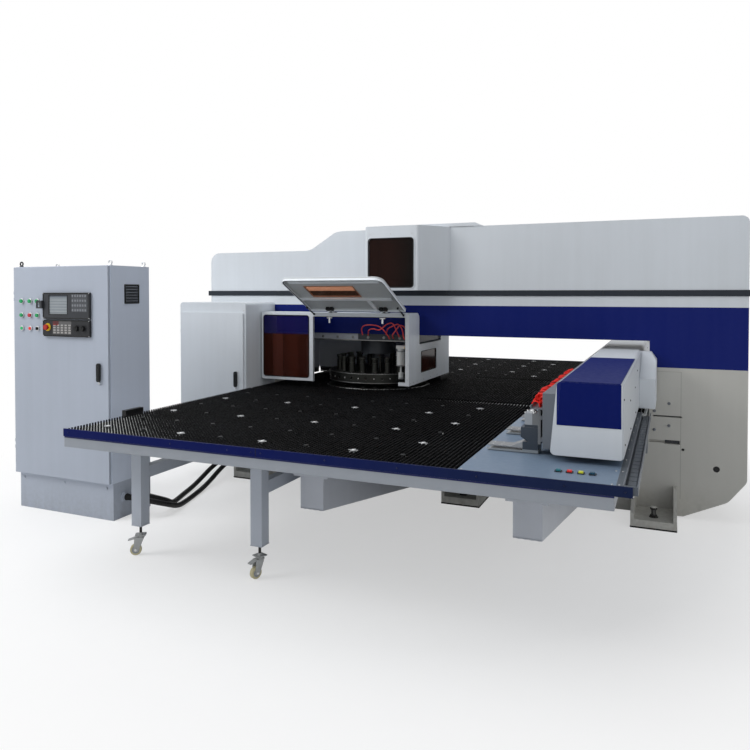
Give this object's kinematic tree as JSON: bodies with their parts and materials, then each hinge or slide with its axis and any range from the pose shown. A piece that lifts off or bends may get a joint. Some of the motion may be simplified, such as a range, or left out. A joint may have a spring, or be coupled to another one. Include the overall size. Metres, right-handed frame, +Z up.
{
  "type": "cnc turret punch press",
  "caption": "Turret punch press with a closed O-shaped frame, brush tables, cross carriage beam, lifting turret guard and a control cabinet on its plinth.",
  "frame": {"origin": "middle of the whole machine's footprint on the floor, cabinet included", "axes": "+Z up, -Y towards the operator and the control cabinet's door, +Y through the frame's throat, +X to the operator's right"},
  "size_m": [5.587, 5.94, 2.408],
  "materials": {
    "white_paint": "satin",
    "navy_paint": "satin",
    "black_paint": "satin",
    "grey_paint": "satin, finely textured",
    "dark_grey_paint": "satin",
    "deck_paint": "satin",
    "silver_paint": "satin",
    "machined_steel": "machined, lightly oiled",
    "ground_steel": "ground",
    "brush": "matt bristles on a dark base",
    "amber_acrylic": "clear amber, glossy",
    "black_plastic": "satin",
    "black_rubber": "matt",
    "red_hose": "semi-gloss",
    "green_plastic": "glossy",
    "red_plastic": "glossy",
    "yellow_plastic": "glossy",
    "blue_plastic": "glossy"
  },
  "bodies": {
    "frame": {"main_frame": "white_paint", "accent_stripe": "black_paint", "frame_feet": "white_paint", "ram_housing": "white_paint", "ram_cylinder": "machined_steel", "viewing_windows": "amber_acrylic", "side_enclosure": "white_paint", "table_frames": "grey_paint", "brush_tables": "brush", "deck_plates": "deck_paint", "edge_channels": "dark_grey_paint", "table_fascias": "navy_paint", "ball_transfers": "ground_steel", "castor_legs": "white_paint", "support_arms": "white_paint", "rail_beams": "machined_steel", "turret_carrier": "silver_paint", "lubricator": "white_paint", "turret_guard": "white_paint", "guard_hinges": "black_paint", "cabinet_plinth": "navy_paint", "cabinet_body": "grey_paint", "conduit_outer": "black_rubber", "conduit_inner": "black_rubber"},
    "ram": {"ram": "ground_steel"},
    "upper_turret": {"upper_turret": "machined_steel", "punch_tools": "ground_steel"},
    "lower_turret": {"lower_turret": "machined_steel"},
    "guard_lid": {"guard_lid": "white_paint", "lid_window": "amber_acrylic"},
    "side_door": {"side_enclosure_door": "white_paint"},
    "side_handle": {"side_enclosure_handle": "black_plastic"},
    "beam": {"carriage_beam": "grey_paint", "beam_cover": "grey_paint", "air_hoses": "red_hose"},
    "clamps": {"clamp_carriage": "dark_grey_paint"},
    "jaws": {"clamp_jaws": "machined_steel"},
    "cabinet_door": {"cabinet_door": "grey_paint", "display_unit": "dark_grey_paint", "operator_panel": "dark_grey_paint", "indicator_lamps": "green_plastic"},
    "cabinet_handle": {"cabinet_handle": "black_plastic"},
    "start_button": {"start_button": "green_plastic"},
    "stop_button": {"stop_button": "red_plastic"},
    "selector": {"selector_switch": "black_plastic"},
    "emergency_stop": {"emergency_stop": "red_plastic"},
    "feed_knob": {"feed_knob": "black_plastic"},
    "speed_knob": {"speed_knob": "black_plastic"},
    "deck_button_1": {"deck_button_1": "green_plastic"},
    "castor_1": {"castor_fork_1": "machined_steel"},
    "wheel_1": {"castor_wheel_1": "black_rubber"},
    "deck_button_2": {"deck_button_2": "red_plastic"},
    "castor_2": {"castor_fork_2": "machined_steel"},
    "wheel_2": {"castor_wheel_2": "black_rubber"},
    "deck_button_3": {"deck_button_3": "yellow_plastic"},
    "castor_3": {"castor_fork_3": "machined_steel"},
    "wheel_3": {"castor_wheel_3": "black_rubber"},
    "deck_button_4": {"deck_button_4": "blue_plastic"},
    "castor_4": {"castor_fork_4": "machined_steel"},
    "wheel_4": {"castor_wheel_4": "black_rubber"}
  },
  "joints": [
    {"name": "ram_stroke", "type": "slide", "parent": "frame", "child": "ram", "axis": [0, 0, 1], "range_m": [-0.03, 0]},
    {"name": "turret_index", "type": "hinge", "parent": "frame", "child": "upper_turret", "pos_m": [-0.4155, 0, 0.947], "axis": [0, 0, 1], "continuous": true},
    {"name": "die_index", "type": "hinge", "parent": "frame", "child": "lower_turret", "pos_m": [-0.4155, 0, 0.8], "axis": [0, 0, 1], "continuous": true},
    {"name": "lid_closing", "type": "hinge", "parent": "frame", "child": "guard_lid", "pos_m": [0.3265, -0.6, 1.617], "axis": [1, 0, 0], "range_deg": [0, 116]},
    {"name": "side_door_swing", "type": "hinge", "parent": "frame", "child": "side_door", "pos_m": [-2.1475, -0.8373, 0.9], "axis": [0, 0, -1], "range_deg": [0, 110]},
    {"name": "side_handle_turn", "type": "hinge", "parent": "side_door", "child": "side_handle", "pos_m": [-1.5055, -0.8483, 1.033], "axis": [0, -1, 0], "range_deg": [0, 90]},
    {"name": "beam_travel", "type": "slide", "parent": "frame", "child": "beam", "axis": [1, 0, 0], "range_m": [-1.25, 0]},
    {"name": "clamp_travel", "type": "slide", "parent": "beam", "child": "clamps", "axis": [0, 1, 0], "range_m": [0, 2.5]},
    {"name": "jaw_grip", "type": "hinge", "parent": "clamps", "child": "jaws", "pos_m": [1.5125, -1.96, 0.952], "axis": [0, -1, 0], "range_deg": [0, 2.99]},
    {"name": "cabinet_door_swing", "type": "hinge", "parent": "frame", "child": "cabinet_door", "pos_m": [-2.7865, -2.16285, 1.1], "axis": [0, 0, -1], "range_deg": [0, 110]},
    {"name": "cabinet_handle_turn", "type": "hinge", "parent": "cabinet_door", "child": "cabinet_handle", "pos_m": [-1.8495, -2.185, 1.22], "axis": [0, -1, 0], "range_deg": [0, 90]},
    {"name": "start_press", "type": "slide", "parent": "cabinet_door", "child": "start_button", "axis": [0, 1, 0], "range_m": [0, 0.004], "stiffness_N_per_m": 400, "springref_m": -0.004},
    {"name": "stop_press", "type": "slide", "parent": "cabinet_door", "child": "stop_button", "axis": [0, 1, 0], "range_m": [0, 0.004], "stiffness_N_per_m": 400, "springref_m": -0.004},
    {"name": "selector_turn", "type": "hinge", "parent": "cabinet_door", "child": "selector", "pos_m": [-2.5055, -2.185, 1.495], "axis": [0, 1, 0], "range_deg": [-45, 45]},
    {"name": "emergency_press", "type": "slide", "parent": "cabinet_door", "child": "emergency_stop", "axis": [0, 1, 0], "range_m": [0, 0.005], "stiffness_N_per_m": 400, "springref_m": -0.004},
    {"name": "feed_turn", "type": "hinge", "parent": "cabinet_door", "child": "feed_knob", "pos_m": [-2.0635, -2.185, 1.505], "axis": [0, 1, 0], "range_deg": [-135, 135]},
    {"name": "speed_turn", "type": "hinge", "parent": "cabinet_door", "child": "speed_knob", "pos_m": [-1.9985, -2.185, 1.505], "axis": [0, 1, 0], "range_deg": [-135, 135]},
    {"name": "deck_press_1", "type": "slide", "parent": "frame", "child": "deck_button_1", "axis": [0, 0, -1], "range_m": [0, 0.003], "stiffness_N_per_m": 400, "springref_m": -0.004},
    {"name": "deck_press_2", "type": "slide", "parent": "frame", "child": "deck_button_2", "axis": [0, 0, -1], "range_m": [0, 0.003], "stiffness_N_per_m": 400, "springref_m": -0.004},
    {"name": "deck_press_3", "type": "slide", "parent": "frame", "child": "deck_button_3", "axis": [0, 0, -1], "range_m": [0, 0.003], "stiffness_N_per_m": 400, "springref_m": -0.004},
    {"name": "deck_press_4", "type": "slide", "parent": "frame", "child": "deck_button_4", "axis": [0, 0, -1], "range_m": [0, 0.003], "stiffness_N_per_m": 400, "springref_m": -0.004},
    {"name": "castor_swivel_1", "type": "hinge", "parent": "frame", "child": "castor_1", "pos_m": [-1.0725, -2.605, 0.15], "axis": [0, 0, 1], "continuous": true},
    {"name": "wheel_roll_1", "type": "hinge", "parent": "castor_1", "child": "wheel_1", "pos_m": [-1.09871, -2.62335, 0.038], "axis": [0.5736, -0.8192, 0], "continuous": true},
    {"name": "castor_swivel_2", "type": "hinge", "parent": "frame", "child": "castor_2", "pos_m": [-0.1205, -2.605, 0.15], "axis": [0, 0, 1], "continuous": true},
    {"name": "wheel_roll_2", "type": "hinge", "parent": "castor_2", "child": "wheel_2", "pos_m": [-0.13144, -2.63507, 0.038], "axis": [0.9397, -0.342, 0], "continuous": true},
    {"name": "castor_swivel_3", "type": "hinge", "parent": "frame", "child": "castor_3", "pos_m": [-1.0725, 2.605, 0.15], "axis": [0, 0, 1], "continuous": true},
    {"name": "wheel_roll_3", "type": "hinge", "parent": "castor_3", "child": "wheel_3", "pos_m": [-1.09701, 2.62557, 0.038], "axis": [-0.6428, -0.766, 0], "continuous": true},
    {"name": "castor_swivel_4", "type": "hinge", "parent": "frame", "child": "castor_4", "pos_m": [-0.1205, 2.605, 0.15], "axis": [0, 0, 1], "continuous": true},
    {"name": "wheel_roll_4", "type": "hinge", "parent": "castor_4", "child": "wheel_4", "pos_m": [-0.09599, 2.58443, 0.038], "axis": [0.6428, 0.766, 0], "continuous": true}
  ],
  "couplings": [
    {"joint": "die_index", "follows": "turret_index", "ratio": 1}
  ]
}
